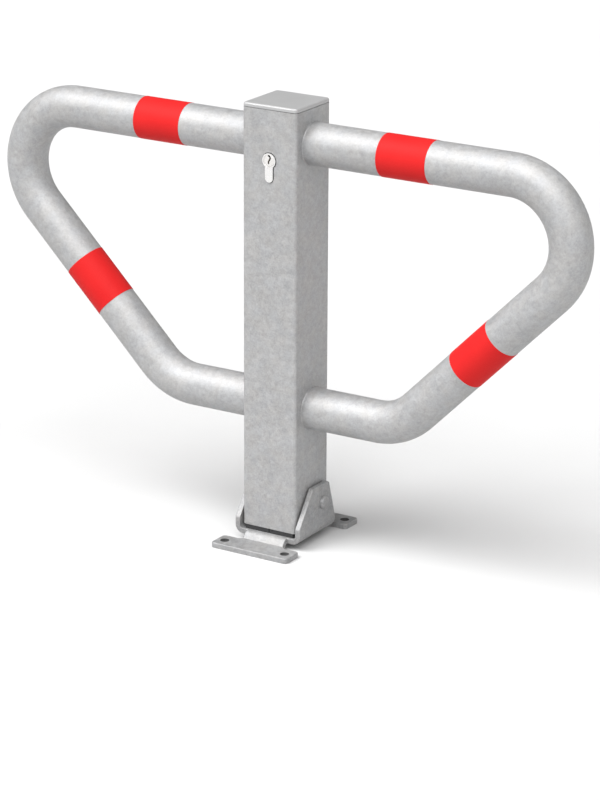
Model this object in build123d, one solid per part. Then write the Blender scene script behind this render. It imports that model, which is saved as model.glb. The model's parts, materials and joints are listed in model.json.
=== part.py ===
"""Folding parking lock: a square post with two tubular wings that folds back on a bolted base bracket.

Millimetres, +Z up. The origin is on the ground in the middle of the base's bolt pattern, under the
post. X runs along the wings, and the lock cylinder faces -Y. The post folds towards +Y.
"""
from build123d import *
from math import cos, radians, sin, sqrt
import os

# ---- base bracket: one bent plate ----
PLATE_T = 6.0
FLANGE_HALF_X = 50.5
FLANGE_Y = (50.5, 78.5)
FLANGE_CORNER_R = 4.5
BOLT_SPACING_X = 80.0
BOLT_SPACING_Y = 130.0
BOLT_HOLE_R = 5.0
NECK_HALF_X = 26.5
NECK_FILLET_R = 6.0
FLOOR_LIFT = 7.0
JOGGLE_START_Y = 39.1
JOGGLE_OUTER_R = 6.6
JOGGLE_DEG = 50.0
EAR_INNER_X = 37.0
EAR_BEND_R = 10.0
EAR_OUTLINE = [(-38.2, 0.0), (-38.2, 25.5), (-9.1, 66.3), (25.0, 66.3), (38.2, 22.3), (38.2, 0.0)]
EAR_CORNER_R = 4.0
PLATE_EDGE_R = 0.6
FLANGE_EDGE_R = 1.0

# ---- fold hinge ----
HINGE_Y = 12.3
HINGE_Z = 44.5
PIN_R = 6.0
PIN_FIT = 0.08
PIN_HEAD_R = 7.6
PIN_HEAD_H = 4.2
PIN_HEAD_ROUND = 3.0
SLEEVE_R = 9.0
WASHER_R = 12.0
WASHER_T = 1.6

# ---- post ----
POST_W = 70.0
POST_T = 3.0
POST_CORNER_R = 4.0
POST_BOTTOM = 18.1
POST_TOP = 504.0
POST_INNER = POST_W / 2 - POST_T
FOOT_SWEEP_R = 30.0
EDGE_BREAK = 0.4
CAP_TOP = POST_TOP + 5.2
CAP_GAP = 0.7
CAP_COLLAR_STEP = 1.2
CAP_EDGE_R = 2.6
CAP_SKIRT_H = 14.0
CAP_SKIRT_T = 2.5

# ---- wings: 48 mm tube bent in the plane Y = 0 ----
TUBE_R = 24.0
TUBE_T = 2.6
BEND_R = 72.0
WING_TOP_Z = 464.5
WING_LOW_Z = 159.7
UPPER_BEND_X = 281.9
UPPER_TURN = 135.0
LOWER_TURN = 180.0 - UPPER_TURN
WELD_LEG = 2.0

# ---- reflective bands ----
BAND_L = 60.8
BAND_T = 0.3
BAND_TOP_X = 127.5
BAND_SLANT = 82.4

# ---- profile cylinder: 33 x 17 x 10 half cylinder ----
CYL_FACE_Y = -36.0
CYL_LENGTH = 40.0
CYL_BODY_R = 8.5
CYL_WEB_HALF = 5.0
CYL_BOTTOM_Z = 423.2
CYL_HEIGHT = 33.0
CYL_AXIS_Z = CYL_BOTTOM_Z + CYL_HEIGHT - CYL_BODY_R
CUTOUT_GAP = 0.7
PLUG_R = 6.9
PLUG_GAP = 0.05
KEYWAY_W = 1.8
CAM_Y = (-11.0, -1.0)
CAM_MID_Y = sum(CAM_Y) / 2
CAM_HUB_R = 8.0
CAM_THICK = 8.0
NOSE_HALF = 3.9
NOSE_REACH = 11.0
NOSE_REST_DEG = 45.0
SCREW_Z = CYL_BOTTOM_Z + 4.5
SCREW_R = 2.5
SUPPORT_Y = (-24.0, -20.0)

# ---- tumblers ----
TUMBLER_COUNT = 5
TUMBLER_PITCH = 3.6
TUMBLER_FIRST_Y = -31.0
TUMBLER_R = 1.4
TUMBLER_BORE_R = 1.5
KEY_PIN_LENGTHS = [3.1, 3.6, 2.9, 3.4, 3.2]
DRIVER_LENGTH = 4.0

# ---- lock slide and locking rod ----
SLIDE_T = 4.0
SLIDE_ARM_X = (9.6, 25.0)
SLIDE_FOOT_Z = (394.0, 408.0)
SLIDE_GAP = 0.5
ROD_R = 6.0
ROD_TIP_Z = 18.5
ROD_TOP_Z = 404.0
ROD_PASS_R = 7.0
GUIDE_GAP = 0.1
GUIDE_T = 4.0
UPPER_GUIDE_Z = 366.0
LOWER_GUIDE_Z = 62.0
ROLL_PIN_R = 2.0


# ---- helpers: place simple solids and drawn outlines ----
def block(x0, x1, y0, y1, z0, z1):
    """A box between two corners."""
    return Pos((x0 + x1) / 2, (y0 + y1) / 2, (z0 + z1) / 2) * Box(x1 - x0, y1 - y0, z1 - z0)


def bar_x(y, z, r, x0, x1):
    """A round bar along X."""
    return Pos((x0 + x1) / 2, y, z) * Rot(0, 90, 0) * Cylinder(r, x1 - x0)


def bar_y(x, z, r, y0, y1):
    """A round bar along Y."""
    return Pos(x, (y0 + y1) / 2, z) * Rot(90, 0, 0) * Cylinder(r, y1 - y0)


def bar_z(x, y, r, z0, z1):
    """A round bar along Z."""
    return Pos(x, y, (z0 + z1) / 2) * Cylinder(r, z1 - z0)


def prism_x(outline, x0, x1):
    """An outline drawn in (Y, Z), extruded along X."""
    return Pos(x0, 0, 0) * extrude(Plane.YZ * outline, amount=x1 - x0, dir=(1, 0, 0))


def prism_y(outline, y0, y1):
    """An outline drawn in (X, Z), extruded along Y."""
    return Pos(0, y0, 0) * extrude(Plane.XZ * outline, amount=y1 - y0, dir=(0, 1, 0))


def prism_z(outline, z0, z1):
    """An outline drawn in (X, Y), extruded along Z."""
    return Pos(0, 0, z0) * extrude(outline, amount=z1 - z0, dir=(0, 0, 1))


def mirror_x(shape):
    return mirror(shape, about=Plane.YZ)


def mirror_y(shape):
    return mirror(shape, about=Plane.XZ)


def save(name, shape):
    export_step(shape, f"parts/{name}.step")


# ---- base ----
def ear_rim(channel):
    """The cut edges round each ear, inside and outside, without the pin hole and the bend's seam."""
    seam_z = FLOOR_LIFT + EAR_BEND_R
    faces_x = (EAR_INNER_X, EAR_INNER_X + PLATE_T)
    on_ear = [e for e in channel.edges() if min(abs(abs(e.center().X) - x) for x in faces_x) < 0.01]
    round_hole = [e for e in on_ear if e.geom_type == GeomType.CIRCLE and abs(e.radius - PIN_R) < 0.01]
    return [e for e in on_ear if e not in round_hole and abs(e.center().Z - seam_z) > 0.01]


def ear_channel():
    """The U floor and the two hinge ears, cut to the ears' side outline."""
    top = EAR_OUTLINE[2][1]
    outer_x = EAR_INNER_X + PLATE_T
    outer = Pos(0, FLOOR_LIFT + top / 2) * RectangleRounded(2 * outer_x, top, EAR_BEND_R)
    inner_z = FLOOR_LIFT + PLATE_T
    inner = Pos(0, inner_z + top / 2) * RectangleRounded(2 * EAR_INNER_X, top, EAR_BEND_R - PLATE_T)
    long = EAR_OUTLINE[-1][0] + 1
    channel = prism_y(outer, -long, long) - prism_y(inner, -long, long)
    side = Polygon(*EAR_OUTLINE, align=None)
    corners = [v for v in side.vertices() if v.Y > 1]
    side = fillet(corners, radius=EAR_CORNER_R)
    channel = channel & prism_x(side, -outer_x - 1, outer_x + 1)
    channel = channel - bar_x(HINGE_Y, HINGE_Z, PIN_R, -outer_x - 1, outer_x + 1)
    return fillet(ear_rim(channel), radius=PLATE_EDGE_R)


def joggle_outline():
    """Half of the bent strip seen from the side: floor, S-shaped joggle and flange on the ground."""
    inner_r = JOGGLE_OUTER_R - PLATE_T
    reach = JOGGLE_OUTER_R + inner_r
    turn = radians(JOGGLE_DEG)
    ramp = (FLOOR_LIFT - reach * (1 - cos(turn))) / sin(turn)
    upper = Vector(JOGGLE_START_Y, FLOOR_LIFT - inner_r)
    lower = upper + Vector(reach * sin(turn) + ramp * cos(turn), reach * cos(turn) - ramp * sin(turn))

    def upper_point(r, angle):
        return upper + Vector(r * sin(angle), r * cos(angle))

    def lower_point(r, angle):
        return lower - Vector(r * sin(angle), r * cos(angle))

    end_y = FLANGE_Y[1] + 1
    top_z = FLOOR_LIFT + PLATE_T
    edges = [
        Line((0, top_z), upper_point(JOGGLE_OUTER_R, 0)),
        ThreePointArc(*[upper_point(JOGGLE_OUTER_R, a) for a in (0, turn / 2, turn)]),
        Line(upper_point(JOGGLE_OUTER_R, turn), lower_point(inner_r, turn)),
        ThreePointArc(*[lower_point(inner_r, a) for a in (turn, turn / 2, 0)]),
        Line(lower_point(inner_r, 0), (end_y, PLATE_T)),
        Line((end_y, PLATE_T), (end_y, 0)),
        Line((end_y, 0), lower_point(JOGGLE_OUTER_R, 0)),
        ThreePointArc(*[lower_point(JOGGLE_OUTER_R, a) for a in (0, turn / 2, turn)]),
        Line(lower_point(JOGGLE_OUTER_R, turn), upper_point(inner_r, turn)),
        ThreePointArc(*[upper_point(inner_r, a) for a in (turn, turn / 2, 0)]),
        Line(upper_point(inner_r, 0), (0, FLOOR_LIFT)),
        Line((0, FLOOR_LIFT), (0, top_z)),
    ]
    return make_face(edges)


def strip_plan():
    """The strip seen from above: a wide flange and a narrow neck that runs in under the post."""
    y0, y1 = FLANGE_Y
    flange = Pos(0, (y0 + y1) / 2) * RectangleRounded(2 * FLANGE_HALF_X, y1 - y0, FLANGE_CORNER_R)
    neck = Pos(0, (y0 + 1) / 2) * Rectangle(2 * NECK_HALF_X, y0 + 1)
    plan = flange + neck
    inside = [v for v in plan.vertices() if abs(v.Y - y0) < 0.01 and abs(abs(v.X) - NECK_HALF_X) < 0.01]
    plan = fillet(inside, radius=NECK_FILLET_R)
    holes = [
        Pos(side * BOLT_SPACING_X / 2, BOLT_SPACING_Y / 2) * Circle(BOLT_HOLE_R) for side in (-1, 1)
    ]
    return plan - holes


def base_bracket():
    strip = prism_x(joggle_outline(), -FLANGE_HALF_X - 1, FLANGE_HALF_X + 1)
    strip = strip & prism_z(strip_plan(), -1, FLOOR_LIFT + PLATE_T + 1)
    end_edge = strip.edges().filter_by(Axis.X).filter_by_position(Axis.Z, PLATE_T - 0.01, PLATE_T + 0.01)
    strip = fillet(end_edge.sort_by(Axis.Y)[-1], radius=FLANGE_EDGE_R)
    plate = ear_channel() + strip + mirror_y(strip)
    passage = bar_z(0, CAM_MID_Y, ROD_PASS_R, 0, FLOOR_LIFT + PLATE_T + 1)
    return plate - passage


def pivot_pin():
    """A plain shaft with a low button head, rounded at the rim, on the outside of each ear."""
    face_x = EAR_INNER_X + PLATE_T
    tip_x = face_x + PIN_HEAD_H
    rim_x = tip_x - PIN_HEAD_ROUND
    flat_r = PIN_HEAD_R - PIN_HEAD_ROUND
    bevel = PIN_HEAD_ROUND * sqrt(0.5)
    edges = [
        Polyline((0, 0), (tip_x, 0), (tip_x, flat_r)),
        ThreePointArc((tip_x, flat_r), (rim_x + bevel, flat_r + bevel), (rim_x, PIN_HEAD_R)),
        Polyline((rim_x, PIN_HEAD_R), (face_x, PIN_HEAD_R), (face_x, PIN_R), (0, PIN_R), (0, 0)),
    ]
    half = revolve(Plane.XZ * make_face(edges), axis=Axis.X)
    return Pos(0, HINGE_Y, HINGE_Z) * (half + mirror_x(half))


def thrust_washers():
    """Two thin washers that fill the gap between the post and the ears."""
    gap = (EAR_INNER_X - POST_W / 2 - WASHER_T) / 2
    x0 = POST_W / 2 + gap
    ring = bar_x(HINGE_Y, HINGE_Z, WASHER_R, x0, x0 + WASHER_T)
    ring = ring - bar_x(HINGE_Y, HINGE_Z, PIN_R, x0 - 1, x0 + WASHER_T + 1)
    return Compound(children=[ring, mirror_x(ring)])


def stop_pads():
    """Two pads, end to end on the floor, that the front of the post's foot comes down on."""
    floor_z = FLOOR_LIFT + PLATE_T
    pad = block(0.3, 32, -34.5, -28.5, floor_z, POST_BOTTOM - 0.3)
    pad = fillet(pad.edges().filter_by(Axis.Z), radius=1)
    return Compound(children=[pad, mirror_x(pad)])


# ---- post ----
def foot_relief():
    """What is cut off the rear of the foot so that it swings clear of the floor."""
    y1 = POST_W / 2 + 1
    wide = POST_W / 2 + 1
    corner = block(-wide, wide, HINGE_Y, y1, 0, HINGE_Z)
    return corner - bar_x(HINGE_Y, HINGE_Z, FOOT_SWEEP_R, -wide - 1, wide + 1)


def cylinder_outline(gap=0.0):
    """The profile cylinder seen from the front: a round body with a narrow web below it."""
    body = Pos(0, CYL_AXIS_Z) * Circle(CYL_BODY_R + gap)
    web_r = CYL_WEB_HALF + gap
    low = CYL_BOTTOM_Z + CYL_WEB_HALF
    web = Pos(0, (low + CYL_AXIS_Z) / 2) * Rectangle(2 * web_r, CYL_AXIS_Z - low)
    return body + web + Pos(0, low) * Circle(web_r)


def countersunk_screw(fit=0.0):
    """The long screw that holds the cylinder, with its head flush in the left wall."""
    head_h = 3.0
    x0 = -POST_W / 2
    shank = bar_x(CAM_MID_Y, SCREW_Z, SCREW_R + fit, x0, CYL_WEB_HALF - 0.5)
    head = Pos(x0 + head_h / 2, CAM_MID_Y, SCREW_Z) * Rot(0, 90, 0)
    return shank + head * Cone(SCREW_R + head_h + fit, SCREW_R + fit, head_h)


def post_tube():
    outer = RectangleRounded(POST_W, POST_W, POST_CORNER_R)
    inner = RectangleRounded(2 * POST_INNER, 2 * POST_INNER, POST_CORNER_R - POST_T)
    tube = prism_z(outer, POST_BOTTOM, POST_TOP)
    foot_edges = tube.faces().sort_by(Axis.Z)[0].edges()
    tube = chamfer(foot_edges, length=EDGE_BREAK) - prism_z(inner, POST_BOTTOM - 1, POST_TOP + 1)
    tube = tube - foot_relief() - bar_x(HINGE_Y, HINGE_Z, SLEEVE_R, -POST_W, POST_W)
    tube = tube - prism_y(cylinder_outline(CUTOUT_GAP), -POST_W, -POST_INNER + 1)
    return tube - countersunk_screw(0.05)


def top_cap():
    """A lid with rounded edges, a collar that leaves a thin gap under it, and a skirt in the post."""
    lid = prism_z(RectangleRounded(POST_W, POST_W, POST_CORNER_R), POST_TOP + CAP_GAP, CAP_TOP)
    lid = fillet(lid.faces().sort_by(Axis.Z)[-1].edges(), radius=CAP_EDGE_R)
    collar_w = POST_W - 2 * CAP_COLLAR_STEP
    collar_r = POST_CORNER_R - CAP_COLLAR_STEP
    lid = lid + prism_z(RectangleRounded(collar_w, collar_w, collar_r), POST_TOP, POST_TOP + CAP_GAP)
    skirt_half = POST_INNER - 0.1
    skirt = prism_z(RectangleRounded(2 * skirt_half, 2 * skirt_half, 2.8), POST_TOP - CAP_SKIRT_H, POST_TOP)
    hollow_half = skirt_half - CAP_SKIRT_T
    hollow = RectangleRounded(2 * hollow_half, 2 * hollow_half, 1)
    return lid + skirt - prism_z(hollow, POST_TOP - CAP_SKIRT_H - 1, POST_TOP + 1.5)


def pivot_sleeve():
    half = POST_W / 2
    sleeve = bar_x(HINGE_Y, HINGE_Z, SLEEVE_R, -half, half)
    return sleeve - bar_x(HINGE_Y, HINGE_Z, PIN_R + PIN_FIT, -half - 1, half + 1)


def rod_guide(z):
    """A plate welded across the inside of the post with a hole for the rod."""
    plate = prism_z(RectangleRounded(2 * POST_INNER, 2 * POST_INNER, POST_CORNER_R - POST_T), z, z + GUIDE_T)
    return plate - bar_z(0, CAM_MID_Y, ROD_R + GUIDE_GAP, z - 1, z + GUIDE_T + 1)


# ---- wings ----
def wing_line():
    """Centre line of the right wing: out along the top, round, in along the slant, round and back."""
    half = POST_W / 2
    top = Line((half, WING_TOP_Z), (UPPER_BEND_X, WING_TOP_Z))
    upper = JernArc(top @ 1, top % 1, BEND_R, -UPPER_TURN)
    drop = (upper @ 1).Y - WING_LOW_Z - BEND_R * (1 - cos(radians(LOWER_TURN)))
    slant = Line(upper @ 1, (upper @ 1) + (upper % 1) * (drop / sin(radians(LOWER_TURN))))
    lower = JernArc(slant @ 1, slant % 1, BEND_R, -LOWER_TURN)
    low = Line(lower @ 1, (half, WING_LOW_Z))
    return top, upper, slant, lower, low


def on_wing_plane(edge):
    return Plane.XZ * edge


def wing_tube():
    path = Wire([on_wing_plane(edge) for edge in wing_line()])
    start = Plane(origin=path @ 0, z_dir=path % 0)
    solid = sweep(start * Circle(TUBE_R), path=path)
    bore = sweep(start * Circle(TUBE_R - TUBE_T), path=path)
    return solid - bore


def weld_bead(z):
    """A concave bead round a tube where it meets the right side of the post."""
    half = POST_W / 2
    top = TUBE_R + WELD_LEG
    mid = WELD_LEG * 0.38
    hollow_arc = ThreePointArc((half, top), (half + mid, TUBE_R + mid), (half + WELD_LEG, TUBE_R))
    edges = [Line((half, TUBE_R), (half, top)), hollow_arc, Line((half + WELD_LEG, TUBE_R), (half, TUBE_R))]
    bead = revolve(Plane.XZ * make_face(edges), axis=Axis.X)
    return Pos(0, 0, z) * bead


def band_top():
    """The film band on the right wing's top run."""
    x1 = BAND_TOP_X + BAND_L
    outer = bar_x(0, WING_TOP_Z, TUBE_R + BAND_T, BAND_TOP_X, x1)
    return outer - bar_x(0, WING_TOP_Z, TUBE_R, BAND_TOP_X - 1, x1 + 1)


def band_slant():
    """The film band on the right wing's slanted run, BAND_SLANT below the upper bend."""
    slant = on_wing_plane(wing_line()[2])
    direction = slant % 0
    start = Plane(origin=(slant @ 0) + direction * BAND_SLANT, z_dir=direction)
    ring = Circle(TUBE_R + BAND_T) - Circle(TUBE_R)
    return extrude(start * ring, amount=BAND_L)


# ---- lock cylinder ----
def tumbler_rows():
    return [TUMBLER_FIRST_Y + i * TUMBLER_PITCH for i in range(TUMBLER_COUNT)]


def cylinder_housing():
    end_y = CYL_FACE_Y + CYL_LENGTH
    body = prism_y(cylinder_outline(), CYL_FACE_Y, end_y)
    body = body - bar_y(0, CYL_AXIS_Z, PLUG_R + PLUG_GAP, CYL_FACE_Y - 1, end_y + 1)
    slot_z = CYL_AXIS_Z - NOSE_REACH - NOSE_HALF - 0.6
    body = body - block(-20, 20, CAM_Y[0], CAM_Y[1], slot_z, CYL_AXIS_Z + 20)
    body = body - bar_x(CAM_MID_Y, SCREW_Z, SCREW_R + 0.05, -20, 20)
    for y in tumbler_rows():
        body = body - bar_z(0, y, TUMBLER_BORE_R, CYL_BOTTOM_Z + 2, CYL_AXIS_Z - PLUG_R + 1)
    return body


def keyway_outline():
    """A generic curved key slot: a hook at the top that runs down into a straight foot."""
    hook = ThreePointArc((-1.4, 5.4), (1.0, 4.9), (1.5, 2.6))
    bend = ThreePointArc((1.5, 2.6), (0.6, 0.9), (-0.4, -0.9))
    foot = Line((-0.4, -0.9), (-0.4, -3.6))
    return Pos(0, CYL_AXIS_Z) * trace([hook, bend, foot], line_width=KEYWAY_W)


def cylinder_plug():
    """The turning core, with a keyway, tumbler bores, a drive tail for the cam and a circlip groove."""
    end_y = CYL_FACE_Y + CYL_LENGTH
    core = bar_y(0, CYL_AXIS_Z, PLUG_R, CYL_FACE_Y + 0.2, end_y - 1)
    front = core.faces().sort_by(Axis.Y)[0]
    core = chamfer(front.edges(), length=0.4)
    core = core - prism_y(keyway_outline(), CYL_FACE_Y - 1, CAM_Y[0] - 2)
    for y in tumbler_rows():
        core = core - bar_z(0, y, TUMBLER_BORE_R, CYL_AXIS_Z - PLUG_R - 1, CYL_AXIS_Z - 2)
    flat = block(-PLUG_R, PLUG_R, CAM_Y[0], end_y, CYL_AXIS_Z + 5, CYL_AXIS_Z + PLUG_R + 1)
    return core - flat - circlip_ring(PLUG_R - 0.9, PLUG_R + 1, -0.05)


def circlip_ring(inner_r, outer_r, grow=0.0):
    """A flat ring behind the cam; a negative grow makes the wider groove that it sits in."""
    y0 = CAM_MID_Y + CAM_THICK / 2 + 0.05 + grow
    y1 = CAM_Y[1] - 0.1 - grow
    return bar_y(0, CYL_AXIS_Z, outer_r, y0, y1) - bar_y(0, CYL_AXIS_Z, inner_r, y0 - 1, y1 + 1)


def key_pins():
    pins = []
    for y, length in zip(tumbler_rows(), KEY_PIN_LENGTHS):
        low = CYL_AXIS_Z - sqrt(PLUG_R**2 - TUMBLER_R**2)
        pins.append(bar_z(0, y, TUMBLER_R, low, low + length))
    return Compound(children=pins)


def driver_pins():
    high = CYL_AXIS_Z - PLUG_R - PLUG_GAP - 0.2
    return Compound(children=[bar_z(0, y, TUMBLER_R, high - DRIVER_LENGTH, high) for y in tumbler_rows()])


def tumbler_springs():
    """Five small coil springs under the driver pins."""
    wire_r = 0.2
    coil_r = TUMBLER_R - wire_r - 0.1
    z0 = CYL_BOTTOM_Z + 2 + wire_r + 0.05
    z1 = CYL_AXIS_Z - PLUG_R - PLUG_GAP - 0.2 - DRIVER_LENGTH - wire_r - 0.1
    springs = []
    for y in tumbler_rows():
        path = Pos(0, y, z0) * Helix(pitch=1.4, height=z1 - z0, radius=coil_r)
        start = Plane(origin=path @ 0, z_dir=path % 0)
        springs.append(sweep(start * Circle(wire_r), path=path, is_frenet=True).solid())
    return Compound(children=springs)


def cam_centre(angle_deg):
    """Centre of the cam nose's round tip when the nose points angle_deg above +X."""
    angle = radians(angle_deg)
    return NOSE_REACH * cos(angle), CYL_AXIS_Z + NOSE_REACH * sin(angle)


def cam():
    """A hub on the plug with one nose that drives the slide, shown with the rod raised."""
    tip_x, tip_z = cam_centre(NOSE_REST_DEG)
    hub = Pos(0, CYL_AXIS_Z) * Circle(CAM_HUB_R)
    arm = Pos(tip_x / 2, (tip_z + CYL_AXIS_Z) / 2) * Rot(0, 0, NOSE_REST_DEG)
    outline = hub + arm * Rectangle(NOSE_REACH, 2 * NOSE_HALF) + Pos(tip_x, tip_z) * Circle(NOSE_HALF)
    y0 = CAM_MID_Y - CAM_THICK / 2
    y1 = CAM_MID_Y + CAM_THICK / 2
    solid = prism_y(outline, y0, y1)
    core = bar_y(0, CYL_AXIS_Z, PLUG_R, y0 - 1, y1 + 1)
    key_flat = block(-PLUG_R, PLUG_R, y0 - 1, y1 + 1, CYL_AXIS_Z + 5, CYL_AXIS_Z + PLUG_R + 1)
    return solid - (core - key_flat)


def cylinder_screw():
    """Countersunk screw with a cross recess cut in its head."""
    screw = countersunk_screw()
    x0 = -POST_W / 2
    across = block(x0 - 1, x0 + 1.6, CAM_MID_Y - 2.4, CAM_MID_Y + 2.4, SCREW_Z - 0.5, SCREW_Z + 0.5)
    upright = block(x0 - 1, x0 + 1.6, CAM_MID_Y - 0.5, CAM_MID_Y + 0.5, SCREW_Z - 2.4, SCREW_Z + 2.4)
    return screw - across - upright


def cylinder_support():
    """A plate welded across the inside of the post that carries the cylinder behind the front wall."""
    plate = block(-POST_INNER, POST_INNER, *SUPPORT_Y, CYL_BOTTOM_Z - 12, CYL_BOTTOM_Z + CYL_HEIGHT + 12)
    return plate - prism_y(cylinder_outline(0.1), SUPPORT_Y[0] - 1, SUPPORT_Y[1] + 1)


# ---- lock slide and rod ----
def lock_slide():
    """A flat hook: the arm beside the cylinder has the notch for the cam, and the foot holds the rod."""
    arm_x0, arm_x1 = SLIDE_ARM_X
    foot_z0, foot_z1 = SLIDE_FOOT_Z
    _, notch_z = cam_centre(NOSE_REST_DEG)
    arm_top = notch_z + NOSE_HALF + 9
    y0 = CAM_MID_Y - SLIDE_T / 2
    y1 = CAM_MID_Y + SLIDE_T / 2
    slide = block(arm_x0, arm_x1, y0, y1, foot_z0, arm_top)
    slide = slide + block(-9, arm_x1, y0, y1, foot_z0, foot_z1)
    notch_half = NOSE_HALF + SLIDE_GAP
    notch_x1 = NOSE_REACH + NOSE_HALF + SLIDE_GAP
    slide = slide - block(arm_x0 - 1, notch_x1, y0 - 1, y1 + 1, notch_z - notch_half, notch_z + notch_half)
    corners = slide.edges().filter_by(Axis.Y).filter_by_position(Axis.X, arm_x1 - 0.1, arm_x1 + 0.1)
    slide = fillet(corners, radius=4)
    return slide - roll_pin_bar()


def roll_pin_bar():
    mid_z = sum(SLIDE_FOOT_Z) / 2
    return bar_y(0, mid_z, ROLL_PIN_R, CAM_MID_Y - ROD_R, CAM_MID_Y + ROD_R)


def slide_pin():
    """The rolled pin that joins the slide to the rod."""
    mid_z = sum(SLIDE_FOOT_Z) / 2
    return roll_pin_bar() - bar_y(0, mid_z, ROLL_PIN_R - 0.8, -POST_W, POST_W)


def locking_rod():
    """A round rod with a slotted top and a bevelled tip."""
    rod = bar_z(0, CAM_MID_Y, ROD_R, ROD_TIP_Z, ROD_TOP_Z)
    rod = chamfer(rod.edges().sort_by(Axis.Z)[0], length=2)
    half = SLIDE_T / 2
    slot = block(-20, 20, CAM_MID_Y - half, CAM_MID_Y + half, SLIDE_FOOT_Z[0], ROD_TOP_Z + 1)
    return rod - slot - roll_pin_bar()


def build():
    os.makedirs("parts", exist_ok=True)
    save("base_bracket", base_bracket())
    save("pivot_pin", pivot_pin())
    save("thrust_washers", thrust_washers())
    save("stop_pads", stop_pads())

    save("post_tube", post_tube())
    save("top_cap", top_cap())
    save("pivot_sleeve", pivot_sleeve())
    save("upper_rod_guide", rod_guide(UPPER_GUIDE_Z))
    save("lower_rod_guide", rod_guide(LOWER_GUIDE_Z))
    save("cylinder_support", cylinder_support())

    right_wing = wing_tube()
    save("right_wing", right_wing)
    save("left_wing", mirror_x(right_wing))
    beads = Compound(children=[weld_bead(WING_TOP_Z), weld_bead(WING_LOW_Z)])
    save("right_weld_beads", beads)
    save("left_weld_beads", mirror_x(beads))
    save("right_top_band", band_top())
    save("left_top_band", mirror_x(band_top()))
    save("right_slant_band", band_slant())
    save("left_slant_band", mirror_x(band_slant()))

    save("cylinder_housing", cylinder_housing())
    save("cylinder_screw", cylinder_screw())
    save("driver_pins", driver_pins())
    save("tumbler_springs", tumbler_springs())
    save("cylinder_plug", cylinder_plug())
    save("key_pins", key_pins())
    save("cam", cam())
    save("cam_circlip", circlip_ring(PLUG_R - 0.9, PLUG_R + 0.7))

    save("lock_slide", lock_slide())
    save("slide_pin", slide_pin())
    save("locking_rod", locking_rod())


build()
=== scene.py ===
"""Looks of the folding parking lock: galvanised steel, red reflective bands, grey cap, nickel lock.

Metres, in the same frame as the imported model: +X along the right wing, +Y to the back, +Z up.
"""
import json
from math import cos, pi, radians, sin, tau

import bmesh
import bpy
from mathutils import Matrix, Vector, noise


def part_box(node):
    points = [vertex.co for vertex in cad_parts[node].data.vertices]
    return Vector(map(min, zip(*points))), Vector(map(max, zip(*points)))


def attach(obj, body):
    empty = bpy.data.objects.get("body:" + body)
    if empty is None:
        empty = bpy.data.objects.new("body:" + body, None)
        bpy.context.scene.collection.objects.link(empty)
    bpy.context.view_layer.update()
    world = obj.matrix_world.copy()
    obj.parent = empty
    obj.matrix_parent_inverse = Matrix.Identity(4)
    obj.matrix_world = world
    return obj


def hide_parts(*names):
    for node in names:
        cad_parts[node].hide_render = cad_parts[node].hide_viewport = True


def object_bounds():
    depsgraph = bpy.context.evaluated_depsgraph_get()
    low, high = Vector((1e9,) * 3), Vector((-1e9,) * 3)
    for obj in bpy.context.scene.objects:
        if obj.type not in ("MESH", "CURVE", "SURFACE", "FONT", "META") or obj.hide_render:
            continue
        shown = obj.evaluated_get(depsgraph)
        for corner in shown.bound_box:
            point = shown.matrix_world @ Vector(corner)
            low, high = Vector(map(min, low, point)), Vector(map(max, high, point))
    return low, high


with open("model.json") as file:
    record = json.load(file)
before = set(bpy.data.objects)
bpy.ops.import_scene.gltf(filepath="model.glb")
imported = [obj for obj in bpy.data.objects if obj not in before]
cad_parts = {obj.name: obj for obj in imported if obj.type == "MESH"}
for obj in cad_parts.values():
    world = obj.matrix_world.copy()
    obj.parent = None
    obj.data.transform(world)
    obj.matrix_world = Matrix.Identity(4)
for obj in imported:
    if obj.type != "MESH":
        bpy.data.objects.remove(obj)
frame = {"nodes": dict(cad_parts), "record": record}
cad_low, cad_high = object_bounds()
NODES = frame["nodes"]

# ---- camera: where it stands and what it looks at ----
CAMERA_AZIMUTH = radians(31.90)
CAMERA_ELEVATION = radians(18.62)
CAMERA_ROLL = radians(0.26)
CAMERA_DISTANCE = 3.613
CAMERA_LENS = 144.6
AIM_OFFSET = Vector((0.0191, 0.0, -0.0887))

# ---- stage ----
FLOOR_HALF = 60.0
FLOOR_DROP = 0.0002
VIEW_END = 200.0
# name, azimuth, elevation, spread in degrees, strength
SOFT_LIGHTS = (
    ("key", -46, 49, 42, 2.40),
    ("top", -16, 60, 56, 2.20),
    ("fill", 42, 42, 48, 1.30),
)
SKY_AZIMUTH = radians(90)
SKY_ELEVATION = radians(0)
SKY_BRIGHT = 0.64
SKY_DIM = 0.03

SHARP_ANGLE = radians(40)

# ---- weld beads: the upper and lower rings on each side of the post ----
BEAD_LEG = 0.0017
BEAD_STEPS = 288
BEAD_RIPPLES = 54
BEAD_PROFILE_STEPS = 6
BEAD_HOLLOW = 0.238

# ---- reflective film: a strip wrapped once round the tube, with a lapped end at the back ----
FILM_LAP = 0.010
FILM_STEPS = 120
FILM_EDGE = 0.00012
FILM_SEAM = radians(-35)
FILM_CLIMB = 0.06
FILM_GAP = 0.00002
SLANT = cos(pi / 4)

# the usual range of a noise texture's value
NOISE_LOW = 0.3
NOISE_HIGH = 0.7


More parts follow.
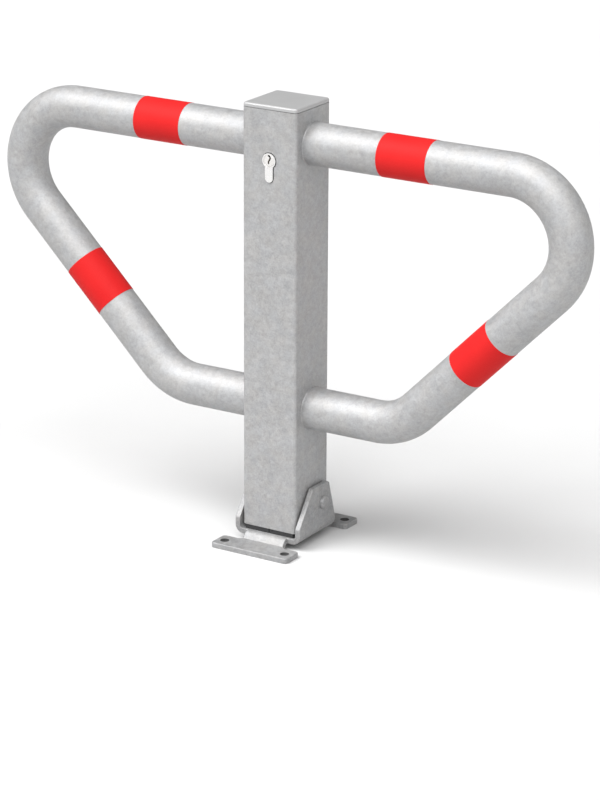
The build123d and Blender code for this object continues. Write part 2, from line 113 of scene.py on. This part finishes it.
# ---- small helpers for shader nodes ----
class Shader:
    """A new material's node tree, with short calls to add and join nodes."""

    def __init__(self, name):
        self.material = bpy.data.materials.new(name)
        self.material.use_nodes = True
        self.tree = self.material.node_tree
        self.principled = self.tree.nodes["Principled BSDF"]

    def add(self, kind, **values):
        """Adds a node. A key that names an input sets it; any other key is a property of the node."""
        node = self.tree.nodes.new(kind)
        for key, value in values.items():
            socket = node.inputs.get(key.replace("_", " "))
            if socket is not None:
                socket.default_value = value
            else:
                setattr(node, key, value)
        return node

    def join(self, source, target):
        self.tree.links.new(source, target)

    def position(self):
        """Object coordinates, which are the model's metres because every node sits at the origin."""
        return self.add("ShaderNodeTexCoord").outputs["Object"]

    def noise(self, where, scale, detail=3.0, roughness=0.55, distortion=0.0):
        node = self.add("ShaderNodeTexNoise", Scale=scale, Detail=detail, Roughness=roughness,
                        Distortion=distortion)
        self.join(where, node.inputs["Vector"])
        return node.outputs["Fac"]

    def cells(self, where, scale, randomness=1.0):
        """A grey value that differs from one crystal to the next."""
        node = self.add("ShaderNodeTexVoronoi", Scale=scale, Randomness=randomness)
        self.join(where, node.inputs["Vector"])
        grey = self.add("ShaderNodeSeparateColor")
        self.join(node.outputs["Color"], grey.inputs["Color"])
        return grey.outputs["Red"]

    def stretched(self, where, scale):
        """The same place, with each axis scaled."""
        node = self.add("ShaderNodeMapping", Scale=scale)
        self.join(where, node.inputs["Vector"])
        return node.outputs["Vector"]

    def scaled_grey(self, grey, shares):
        """A grey value as a colour, with a share of it in red, green and blue."""
        node = self.add("ShaderNodeCombineColor")
        for socket, share in zip(node.inputs, shares):
            self.join(self.maths("MULTIPLY", grey, share), socket)
        return node.outputs["Color"]

    def remap(self, value, low, high, to_low, to_high):
        node = self.add("ShaderNodeMapRange")
        sockets = ("From Min", "From Max", "To Min", "To Max")
        for socket, number in zip(sockets, (low, high, to_low, to_high)):
            node.inputs[socket].default_value = number
        self.join(value, node.inputs["Value"])
        return node.outputs["Result"]

    def over_noise(self, noise_value, to_low, to_high):
        """A number that runs from low to high over the usual range of a noise value."""
        return self.remap(noise_value, NOISE_LOW, NOISE_HIGH, to_low, to_high)

    def swing(self, noise_value, reach):
        """A noise value moved to lie between minus and plus the reach."""
        return self.over_noise(noise_value, -reach, reach)

    def maths(self, operation, a, b):
        node = self.add("ShaderNodeMath", operation=operation)
        for socket, value in zip(node.inputs, (a, b)):
            if isinstance(value, (int, float)):
                socket.default_value = value
            else:
                self.join(value, socket)
        return node.outputs["Value"]

    def ramp(self, noise_value, low, high):
        """A colour that runs from low to high over the usual range of a noise value."""
        node = self.add("ShaderNodeValToRGB")
        places = (NOISE_LOW, NOISE_HIGH)
        for element, place, colour in zip(node.color_ramp.elements, places, (low, high)):
            element.position = place
            element.color = (*colour, 1)
        self.join(noise_value, node.inputs["Fac"])
        return node.outputs["Color"]

    def mix(self, share, a, b, blend="MIX"):
        node = self.add("ShaderNodeMix", data_type="RGBA", blend_type=blend)
        for socket, value in zip((node.inputs[0], node.inputs[6], node.inputs[7]), (share, a, b)):
            if isinstance(value, (int, float)):
                socket.default_value = value
            elif isinstance(value, tuple):
                socket.default_value = (*value, 1)
            else:
                self.join(value, socket)
        return node.outputs[2]

    def bump(self, height, strength, distance, below=None):
        node = self.add("ShaderNodeBump", Strength=strength, Distance=distance)
        self.join(height, node.inputs["Height"])
        if below is not None:
            self.join(below, node.inputs["Normal"])
        return node.outputs["Normal"]

    def painted_hole_shade(self, where, x, y, radius):
        """Painted shade for four round holes at (+-x, +-y): a share that is 1 away from them and low on
        their walls.
        """
        quarter = self.add("ShaderNodeVectorMath", operation="ABSOLUTE")
        self.join(where, quarter.inputs[0])
        flat = self.add("ShaderNodeVectorMath", operation="MULTIPLY")
        self.join(quarter.outputs["Vector"], flat.inputs[0])
        flat.inputs[1].default_value = (1, 1, 0)
        reach = self.add("ShaderNodeVectorMath", operation="DISTANCE")
        self.join(flat.outputs["Vector"], reach.inputs[0])
        reach.inputs[1].default_value = (x, y, 0)
        return self.remap(reach.outputs["Value"], radius + 0.0001, radius + 0.0005, 0.35, 1.0)

    def surface(self, **inputs):
        """Sets or joins the main shader's inputs, then returns the material."""
        for key, value in inputs.items():
            socket = self.principled.inputs[key.replace("_", " ")]
            if isinstance(value, (int, float)):
                socket.default_value = value
            elif isinstance(value, tuple):
                socket.default_value = (*value, 1)
            else:
                self.join(value, socket)
        return self.material


# ---- materials ----
def galvanised(name, tone, metallic=0.55, roughness=0.62, holes=None):
    """Hot-dip zinc: faint patches, small mottle, spangle, fine grain, slight tints, an uneven skin; given
    holes, painted shade on their walls.
    """
    s = Shader(name)
    where = s.position()
    patches = s.noise(where, 26.0, detail=4.0, roughness=0.6, distortion=0.6)
    mottle = s.noise(where, 190.0, detail=3.0, roughness=0.6, distortion=0.6)
    fine = s.noise(where, 520.0, detail=4.0, roughness=0.6)
    crystals = s.cells(where, 210.0)
    value = s.maths("ADD", s.swing(patches, 0.016), s.swing(mottle, 0.036))
    value = s.maths("ADD", value, s.swing(fine, 0.034))
    value = s.maths("ADD", value, s.remap(crystals, 0.0, 1.0, -0.022, 0.022))
    grey = s.maths("ADD", value, tone)
    # painted shade: the base colour darkens on the walls of the bolt holes
    if holes is not None:
        grey = s.maths("MULTIPLY", grey, s.painted_hole_shade(where, *holes))
    tint = s.noise(where, 60.0, detail=2.0)
    cool = s.scaled_grey(grey, (0.978, 0.984, 1.0))
    warm = s.scaled_grey(grey, (1.0, 0.988, 0.980))
    colour = s.mix(s.remap(tint, 0.36, 0.64, 0.0, 1.0), cool, warm)
    rough = s.remap(s.maths("ADD", mottle, crystals), 0.4, 1.6, roughness - 0.06, roughness + 0.07)
    skin_fine = s.bump(fine, 0.10, 0.0004)
    skin_mottle = s.bump(mottle, 0.14, 0.0008, skin_fine)
    wave = s.noise(s.stretched(where, (1.0, 1.0, 2.6)), 70.0, detail=2.0)
    skin_wave = s.bump(wave, 0.10, 0.0014, skin_mottle)
    return s.surface(Base_Color=colour, Metallic=metallic, Roughness=rough, Normal=skin_wave)


def moulded_grey(name):
    """Grey plastic with a fine eroded texture."""
    s = Shader(name)
    where = s.position()
    grain = s.noise(where, 1400.0, detail=2.0)
    cloud = s.noise(where, 30.0)
    colour = s.ramp(cloud, (0.320, 0.320, 0.322), (0.348, 0.348, 0.348))
    rough = s.over_noise(grain, 0.30, 0.38)
    return s.surface(Base_Color=colour, Roughness=rough, Specular_IOR_Level=0.9,
                     Normal=s.bump(grain, 0.08, 0.0002))


def reflective_red(name):
    """Red film over tiny glass beads: an even colour, a faint glint from bead to bead, a satin top."""
    s = Shader(name)
    where = s.position()
    beads = s.cells(where, 1500.0)
    cloud = s.noise(where, 22.0, detail=2.0)
    colour = s.ramp(cloud, (0.515, 0.012, 0.013), (0.550, 0.015, 0.015))
    sparkle = s.mix(s.remap(beads, 0.0, 1.0, 0.0, 0.12), colour, (0.68, 0.036, 0.034))
    rough = s.over_noise(cloud, 0.52, 0.60)
    return s.surface(Base_Color=sparkle, Roughness=rough, Specular_IOR_Level=0.10,
                     Normal=s.bump(cloud, 0.05, 0.001))


def plated(name, colour, roughness, brush_scale=900.0):
    """Satin nickel or zinc plate with a fine brushed grain."""
    s = Shader(name)
    where = s.position()
    grain = s.noise(s.stretched(where, (1.0, 1.0, 0.06)), brush_scale, detail=3.0)
    stain = s.noise(where, 60.0)
    low = tuple(c * 0.93 for c in colour)
    tone = s.ramp(stain, low, colour)
    rough = s.over_noise(grain, roughness - 0.06, roughness + 0.08)
    return s.surface(Base_Color=tone, Metallic=1.0, Roughness=rough, Normal=s.bump(grain, 0.05, 0.0001))


def plain_steel(name, tone):
    """Machined or drawn steel with turning marks and a trace of oil."""
    s = Shader(name)
    where = s.position()
    marks = s.noise(where, 700.0, detail=4.0, distortion=1.0)
    oil = s.noise(where, 40.0)
    colour = s.ramp(oil, (tone * 0.82, tone * 0.80, tone * 0.77), (tone, tone, tone))
    rough = s.over_noise(marks, 0.28, 0.44)
    return s.surface(Base_Color=colour, Metallic=1.0, Roughness=rough, Normal=s.bump(marks, 0.08, 0.0002))


def brass(name):
    s = Shader(name)
    where = s.position()
    stain = s.noise(where, 300.0)
    colour = s.ramp(stain, (0.60, 0.43, 0.17), (0.78, 0.60, 0.27))
    return s.surface(Base_Color=colour, Metallic=1.0, Roughness=s.over_noise(stain, 0.22, 0.36))


def black_polymer(name, roughness):
    """Nylon or rubber with a faint grain."""
    s = Shader(name)
    where = s.position()
    grain = s.noise(where, 900.0, detail=3.0)
    colour = s.ramp(grain, (0.018, 0.018, 0.019), (0.035, 0.035, 0.036))
    rough = s.over_noise(grain, roughness - 0.06, roughness + 0.06)
    return s.surface(Base_Color=colour, Roughness=rough, Normal=s.bump(grain, 0.2, 0.0003))


def floor_material():
    s = Shader("floor_white")
    speckle = s.noise(s.position(), 3.0)
    colour = s.ramp(speckle, (0.58, 0.58, 0.58), (0.60, 0.60, 0.60))
    return s.surface(Base_Color=colour, Roughness=0.9, Specular_IOR_Level=0.1)


def bolt_holes():
    """Half spacings and radius of the base's bolt holes, in metres, from the record."""
    dims = next(mount for mount in frame["record"]["mounts"] if mount["name"] == "base_bolts")["dims"]
    return dims["spacing_x_mm"] / 2000, dims["spacing_y_mm"] / 2000, dims["hole_r_mm"] / 1000


def make_materials():
    """One material for each of the record's slots."""
    return {
        "galvanised_post": galvanised("galvanised_post", 0.392),
        "galvanised_tube": galvanised("galvanised_tube", 0.402),
        "galvanised_plate": galvanised("galvanised_plate", 0.338, holes=bolt_holes()),
        # the bead is real weld metal; its tone, darker than the tubes, is painted shade for the contact
        # line where the tubes meet the post
        "weld_bead": galvanised("weld_bead", 0.350, roughness=0.48),
        "zinc_pin": galvanised("zinc_pin", 0.340),
        "zinc_screw": plated("zinc_screw", (0.62, 0.62, 0.60), 0.34),
        "cap_grey": moulded_grey("cap_grey"),
        "red_film": reflective_red("red_film"),
        "nickel": plated("nickel", (0.93, 0.92, 0.91), 0.30),
        "nickel_plug": plated("nickel_plug", (0.90, 0.88, 0.86), 0.26),
        "plain_steel": plain_steel("plain_steel", 0.50),
        "rod_steel": plain_steel("rod_steel", 0.58),
        "brass": brass("brass_pins"),
        "spring_wire": plain_steel("spring_wire", 0.42),
        "nylon": black_polymer("nylon", 0.45),
        "rubber_pad": black_polymer("rubber_pad", 0.7),
    }


def dress_nodes(materials):
    """Gives each CAD node the material of its slot."""
    for entry in frame["record"]["subparts"]:
        mesh = NODES[entry["node"]].data
        mesh.materials.clear()
        mesh.materials.append(materials[entry["material_slot"]])


# ---- pieces made here: weld beads and reflective film ----
def add_piece(name, vertices, faces, material, body, node):
    """A closed mesh, smooth but for its sharp edges, that rides on a body and stands for a CAD node."""
    mesh = bpy.data.meshes.new(name)
    mesh.from_pydata(vertices, [], faces)
    shell = bmesh.new()
    shell.from_mesh(mesh)
    bmesh.ops.recalc_face_normals(shell, faces=shell.faces)
    shell.to_mesh(mesh)
    shell.free()
    mesh.shade_smooth()
    mesh.set_sharp_from_angle(angle=SHARP_ANGLE)
    mesh.materials.append(material)
    piece = bpy.data.objects.new(name, mesh)
    bpy.context.scene.collection.objects.link(piece)
    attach(piece, body)
    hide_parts(node)
    return piece


def skin(loops, closed):
    """Faces between neighbouring loops of equal length. Closed loops join the last one to the first."""
    count = len(loops)
    size = len(loops[0])
    faces = []
    for i in range(count if closed else count - 1):
        j = (i + 1) % count
        for k in range(size):
            m = (k + 1) % size
            faces.append((i * size + k, i * size + m, j * size + m, j * size + k))
    if not closed:
        faces.append(tuple(reversed(range(size))))
        faces.append(tuple(range((count - 1) * size, count * size)))
    return faces


def bead_leg(angle, seed):
    """The bead's width at an angle: a row of small ripples, each a little different."""
    ripple = abs(sin(angle * BEAD_RIPPLES / 2))
    drift = noise.noise(Vector((3 * cos(angle), 3 * sin(angle), seed)))
    return BEAD_LEG * (0.86 + 0.12 * ripple + 0.12 * drift)


def bead_loops(face_x, side, radius, height, seed):
    """Profiles of one ring: along the post's face, over a shallow hollow, and back under on the tube."""
    loops = []
    for step in range(BEAD_STEPS):
        angle = tau * step / BEAD_STEPS
        leg = bead_leg(angle, seed)
        profile = [(0.0, 0.0), (0.0, leg)]
        for i in range(1, BEAD_PROFILE_STEPS):
            t = i / BEAD_PROFILE_STEPS
            dip = BEAD_HOLLOW * leg * sin(pi * t)
            profile.append((leg * t - dip, leg * (1 - t) - dip))
        profile.append((leg, 0.0))
        ring = [(radius + up, out) for out, up in profile]
        loops.append([
            (face_x + side * out, r * cos(angle), height + r * sin(angle)) for r, out in ring
        ])
    return loops


def make_weld_beads(material):
    """Both rings of each side, where the wing's tube ends meet the post."""
    post_low, post_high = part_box("post_tube")
    for side, name in ((1, "right"), (-1, "left")):
        low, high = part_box(name + "_wing")
        face_x = post_high.x if side > 0 else post_low.x
        radius = (high.y - low.y) / 2
        vertices = []
        faces = []
        for seed, height in enumerate((high.z - radius, low.z + radius)):
            loops = bead_loops(face_x, side, radius, height, seed + 2.5 * side)
            start = len(vertices)
            faces.extend(tuple(start + i for i in face) for face in skin(loops, closed=True))
            vertices.extend(point for loop in loops for point in loop)
        node = name + "_weld_beads"
        add_piece(name + "_weld_rings", vertices, faces, material, "post", node)


def film_loops(centre, axis, length, tube_r, thickness):
    """Cross-sections of the strip, once round the tube and on over its own start."""
    across = Vector((0, 1, 0))
    up = axis.cross(across)
    lap = FILM_LAP / tube_r
    half = length / 2
    loops = []
    for step in range(FILM_STEPS + 1):
        turn = (tau + lap) * step / FILM_STEPS
        rise = min(max((turn - tau) / FILM_CLIMB + 1, 0.0), 1.0)
        inner = tube_r + rise * (thickness + FILM_GAP)
        outer = inner + thickness
        angle = FILM_SEAM + turn
        out = across * cos(angle) + up * sin(angle)
        section = [
            (-half, inner), (-half, outer - FILM_EDGE), (-half + FILM_EDGE, outer),
            (half - FILM_EDGE, outer), (half, outer - FILM_EDGE), (half, inner),
        ]
        loops.append([centre + axis * along + out * r for along, r in section])
    return loops


def make_films(material):
    """The four bands. The slanted ones run at 45 degrees, along the wings' slanted tubes."""
    low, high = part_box("right_top_band")
    length = high.x - low.x
    outer = (high.z - low.z) / 2
    wing_low, wing_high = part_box("right_wing")
    tube_r = (wing_high.y - wing_low.y) / 2
    axes = {
        "right_top_band": Vector((1, 0, 0)),
        "left_top_band": Vector((-1, 0, 0)),
        "right_slant_band": Vector((SLANT, 0, SLANT)),
        "left_slant_band": Vector((-SLANT, 0, SLANT)),
    }
    for node, axis in axes.items():
        low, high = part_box(node)
        loops = film_loops((low + high) / 2, axis, length, tube_r, outer - tube_r)
        vertices = [point for loop in loops for point in loop]
        add_piece(node + "_film", vertices, skin(loops, closed=False), material, "post", node)


# ---- stage: floor, lights, camera ----
def toward(azimuth, elevation):
    """Unit vector from the object towards a viewer; azimuth 0 stands in front, at -Y."""
    flat = cos(elevation)
    return Vector((sin(azimuth) * flat, -cos(azimuth) * flat, sin(elevation)))


def make_floor():
    mesh = bpy.data.meshes.new("floor")
    half = FLOOR_HALF
    corners = [(-half, -half, 0), (half, -half, 0), (half, half, 0), (-half, half, 0)]
    mesh.from_pydata(corners, [], [(0, 1, 2, 3)])
    floor = bpy.data.objects.new("floor", mesh)
    floor.location.z = cad_low.z - FLOOR_DROP
    mesh.materials.append(floor_material())
    bpy.context.scene.collection.objects.link(floor)


def make_lights():
    """Three broad soft lights, and a white surround that fills the shadows from the right."""
    for name, azimuth, elevation, spread, strength in SOFT_LIGHTS:
        data = bpy.data.lights.new(name, "SUN")
        data.energy = strength
        data.angle = radians(spread)
        light = bpy.data.objects.new(name, data)
        light.rotation_mode = "QUATERNION"
        light.rotation_quaternion = toward(radians(azimuth), radians(elevation)).to_track_quat("Z", "Y")
        bpy.context.scene.collection.objects.link(light)
    bpy.context.scene.world = make_sky()


def make_sky():
    """A white surround, brighter on one side."""
    world = bpy.data.worlds.new("studio")
    world.use_nodes = True
    tree = world.node_tree
    background = tree.nodes["Background"]
    background.inputs["Color"].default_value = (1.0, 1.0, 1.0, 1)
    direction = tree.nodes.new("ShaderNodeTexCoord")
    facing = tree.nodes.new("ShaderNodeVectorMath")
    facing.operation = "DOT_PRODUCT"
    facing.inputs[1].default_value = toward(SKY_AZIMUTH, SKY_ELEVATION)
    strength = tree.nodes.new("ShaderNodeMapRange")
    strength.inputs["From Min"].default_value = -1.0
    strength.inputs["To Min"].default_value = SKY_DIM
    strength.inputs["To Max"].default_value = SKY_BRIGHT
    tree.links.new(direction.outputs["Generated"], facing.inputs[0])
    tree.links.new(facing.outputs["Value"], strength.inputs["Value"])
    tree.links.new(strength.outputs["Result"], background.inputs["Strength"])
    return world


def make_camera():
    """A long lens at the photographed angle."""
    middle = (cad_low + cad_high) / 2
    aim = middle + AIM_OFFSET
    data = bpy.data.cameras.new("camera")
    data.lens = CAMERA_LENS
    data.sensor_width = 36.0
    data.clip_end = VIEW_END
    camera = bpy.data.objects.new("camera", data)
    back = toward(CAMERA_AZIMUTH, CAMERA_ELEVATION)
    level_right = Vector((cos(CAMERA_AZIMUTH), sin(CAMERA_AZIMUTH), 0))
    level_up = back.cross(level_right)
    right = level_right * cos(CAMERA_ROLL) + level_up * sin(CAMERA_ROLL)
    up = back.cross(right)
    turn = Matrix((right, up, back)).transposed().to_4x4()
    camera.matrix_world = Matrix.Translation(aim + back * CAMERA_DISTANCE) @ turn
    bpy.context.scene.collection.objects.link(camera)
    bpy.context.scene.camera = camera


make_camera()
make_lights()
make_floor()
MATERIALS = make_materials()
dress_nodes(MATERIALS)
make_weld_beads(MATERIALS["weld_bead"])
make_films(MATERIALS["red_film"])
bpy.context.scene.view_settings.view_transform = "Standard"
